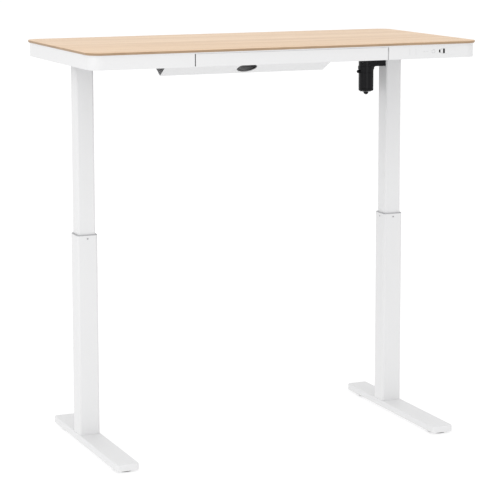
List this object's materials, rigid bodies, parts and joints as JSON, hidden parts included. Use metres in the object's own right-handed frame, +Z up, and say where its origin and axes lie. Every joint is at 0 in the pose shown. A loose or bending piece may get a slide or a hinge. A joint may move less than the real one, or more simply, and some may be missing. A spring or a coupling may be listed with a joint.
{
  "type": "height adjustable standing desk",
  "caption": "Sit-stand desk: thin oak board on a white steel apron with a slim drawer and touch panel, on two telescopic columns driven by one motor and a cross shaft.",
  "frame": {"origin": "on the floor under the middle of the tabletop", "axes": "+X along the desk to the user's right, +Y from the front edge to the back, +Z up"},
  "size_m": [1.2, 0.6, 1.175],
  "materials": {
    "oak_board": "satin lacquered light oak",
    "white_steel": "white powder coat",
    "grey_steel": "light grey powder coat",
    "zinc_steel": "zinc plated",
    "white_plastic": "moulded white plastic",
    "grey_plastic": "moulded grey plastic",
    "black_plastic": "moulded black plastic",
    "black_steel": "semi-gloss black enamel",
    "bright_steel": "turned steel",
    "nut_plastic": "natural acetal"
  },
  "bodies": {
    "base": {"foot_left": "white_steel", "foot_right": "white_steel", "lower_column_left": "white_steel", "lower_column_right": "white_steel", "column_collar_left": "grey_plastic", "column_collar_right": "grey_plastic", "collar_screws": "bright_steel", "nut_tube_left": "zinc_steel", "nut_tube_right": "zinc_steel", "spindle_nut_left": "nut_plastic", "spindle_nut_right": "nut_plastic", "foot_screws": "bright_steel"},
    "desk": {"apron_frame": "white_steel", "bevel_housing_left": "black_plastic", "bevel_housing_right": "black_plastic", "board_screws": "bright_steel", "cable_tray": "white_steel", "control_box": "black_plastic", "control_panel": "white_plastic", "cross_rail_front": "white_steel", "cross_rail_rear": "white_steel", "drawer_rail_left": "zinc_steel", "drawer_rail_right": "zinc_steel", "gearbox_screws": "bright_steel", "motor_can": "black_steel", "motor_end_cap": "black_plastic", "motor_gearbox": "black_plastic", "motor_gland": "black_plastic", "power_inlet": "black_plastic", "side_beam_left": "white_steel", "side_beam_right": "white_steel", "spindle_bearing_left": "bright_steel", "spindle_bearing_right": "bright_steel", "tabletop": "oak_board", "tray_screws": "bright_steel", "upper_column_left": "white_steel", "upper_column_right": "white_steel", "usb_a_port": "black_plastic", "usb_c_port": "black_plastic"},
    "drawer": {"drawer_front": "white_steel", "drawer_floor": "grey_steel", "drawer_side_left": "grey_steel", "drawer_side_right": "grey_steel", "drawer_back": "grey_steel", "drawer_runner_left": "zinc_steel", "drawer_runner_right": "zinc_steel", "drawer_screws": "bright_steel"},
    "left_spindle": {"spindle_left": "bright_steel", "spindle_gear_left": "bright_steel"},
    "right_spindle": {"spindle_right": "bright_steel", "spindle_gear_right": "bright_steel"},
    "cross_shaft": {"drive_shaft": "bright_steel", "shaft_gear_left": "bright_steel", "shaft_gear_right": "bright_steel", "shaft_gear_motor": "bright_steel"},
    "motor_rotor": {"motor_shaft": "bright_steel"},
    "front_left_glide": {"glide_front_left": "black_plastic"},
    "rear_left_glide": {"glide_rear_left": "black_plastic"},
    "front_right_glide": {"glide_front_right": "black_plastic"},
    "rear_right_glide": {"glide_rear_right": "black_plastic"}
  },
  "joints": [
    {"name": "height", "type": "slide", "parent": "base", "child": "desk", "axis": [0, 0, 1], "range_m": [-0.45, 0.03]},
    {"name": "drawer_slide", "type": "slide", "parent": "desk", "child": "drawer", "axis": [0, -1, 0], "range_m": [0, 0.15]},
    {"name": "left_spindle_spin", "type": "hinge", "parent": "desk", "child": "left_spindle", "pos_m": [-0.498, 0.073, 1], "axis": [0, 0, 1], "continuous": true},
    {"name": "right_spindle_spin", "type": "hinge", "parent": "desk", "child": "right_spindle", "pos_m": [0.498, 0.073, 1], "axis": [0, 0, 1], "continuous": true},
    {"name": "cross_shaft_spin", "type": "hinge", "parent": "desk", "child": "cross_shaft", "pos_m": [0, 0.073, 1.101], "axis": [1, 0, 0], "continuous": true},
    {"name": "motor_spin", "type": "hinge", "parent": "desk", "child": "motor_rotor", "pos_m": [0.416, 0.073, 1.05], "axis": [0, 0, 1], "continuous": true},
    {"name": "front_left_glide_turn", "type": "hinge", "parent": "base", "child": "front_left_glide", "pos_m": [-0.498, -0.254, 0.002], "axis": [0, 0, 1], "continuous": true},
    {"name": "rear_left_glide_turn", "type": "hinge", "parent": "base", "child": "rear_left_glide", "pos_m": [-0.498, 0.212, 0.002], "axis": [0, 0, 1], "continuous": true},
    {"name": "front_right_glide_turn", "type": "hinge", "parent": "base", "child": "front_right_glide", "pos_m": [0.498, -0.254, 0.002], "axis": [0, 0, 1], "continuous": true},
    {"name": "rear_right_glide_turn", "type": "hinge", "parent": "base", "child": "rear_right_glide", "pos_m": [0.498, 0.212, 0.002], "axis": [0, 0, 1], "continuous": true}
  ],
  "couplings": [
    {"joint": "left_spindle_spin", "follows": "height", "rad_per_m": 392.7},
    {"joint": "right_spindle_spin", "follows": "height", "rad_per_m": -392.7},
    {"joint": "cross_shaft_spin", "follows": "height", "rad_per_m": 392.7},
    {"joint": "motor_spin", "follows": "height", "rad_per_m": 392.7}
  ]
}
